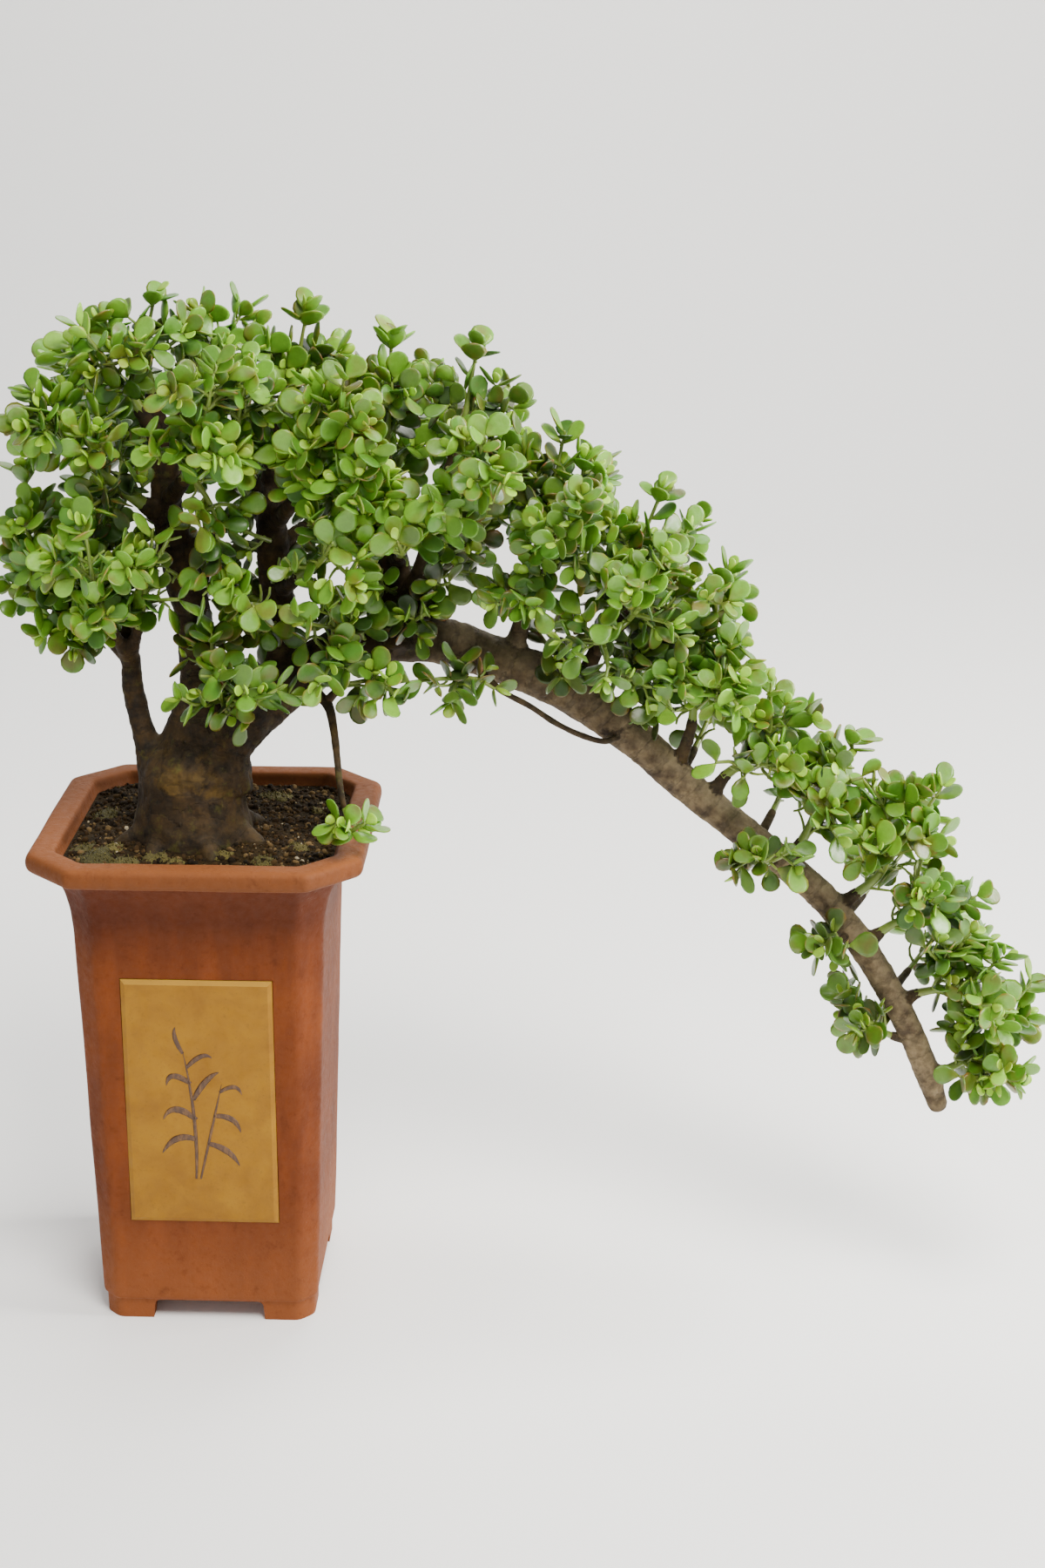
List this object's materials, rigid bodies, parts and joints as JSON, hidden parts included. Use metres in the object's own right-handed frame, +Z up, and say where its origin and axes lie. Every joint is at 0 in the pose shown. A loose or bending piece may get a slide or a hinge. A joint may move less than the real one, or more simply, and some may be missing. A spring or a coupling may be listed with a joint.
{
  "type": "dwarf jade bonsai",
  "caption": "Small-leaved succulent bonsai trained as a cascade, in a tall unglazed clay pot with cut corners, a flared rim and an inset tablet on the front.",
  "frame": {"origin": "middle of the bounding box's underside, level with the undersides of the pot's feet; the pot stands left of it, at about x -0.146 m", "axes": "+Z up, +X the way the branch cascades, -Y the pot's front with the tablet that was pictured"},
  "size_m": [0.482, 0.1758, 0.4802],
  "materials": {
    "clay": "matte",
    "tablet": "satin",
    "drain_mesh": "matte",
    "soil": "matte",
    "bark": "matte",
    "leaf": "satin"
  },
  "bodies": {
    "root": {"pot": "clay", "tablet_front": "tablet", "tablet_back": "tablet", "drain_screen": "drain_mesh", "soil": "soil", "wood": "bark", "spray_fall_1": "leaf", "spray_fall_10": "leaf", "spray_fall_11": "leaf", "spray_fall_1_back": "leaf", "spray_fall_2": "leaf", "spray_fall_2_back": "leaf", "spray_fall_3": "leaf", "spray_fall_4": "leaf", "spray_fall_4_back": "leaf", "spray_fall_5": "leaf", "spray_fall_5_back": "leaf", "spray_fall_6": "leaf", "spray_fall_7": "leaf", "spray_fall_7_back": "leaf", "spray_fall_8": "leaf", "spray_fall_9": "leaf", "spray_hang_1": "leaf", "spray_hang_2": "leaf", "spray_hang_3": "leaf", "spray_hang_4": "leaf", "spray_hanging": "leaf", "spray_lean": "leaf", "spray_lean_back": "leaf", "spray_lean_front": "leaf", "spray_lean_low": "leaf", "spray_middle": "leaf", "spray_middle_back": "leaf", "spray_middle_front": "leaf", "spray_middle_left": "leaf", "spray_middle_left_back": "leaf", "spray_middle_low_front": "leaf", "spray_middle_right": "leaf", "spray_middle_right_back": "leaf", "spray_right": "leaf", "spray_right_back": "leaf", "spray_right_front": "leaf", "spray_right_left": "leaf", "spray_shoulder": "leaf", "spray_shoulder_back": "leaf", "spray_shoulder_front": "leaf", "spray_slope": "leaf", "spray_slope_back": "leaf", "spray_slope_front": "leaf", "spray_thin": "leaf", "spray_thin_arch": "leaf", "spray_thin_front": "leaf", "spray_thin_right": "leaf", "spray_upright": "leaf", "spray_upright_back": "leaf", "spray_upright_front": "leaf", "spray_upright_left_back": "leaf", "spray_upright_left_front": "leaf", "spray_upright_left_low": "leaf", "spray_upright_right": "leaf"}
  },
  "joints": []
}
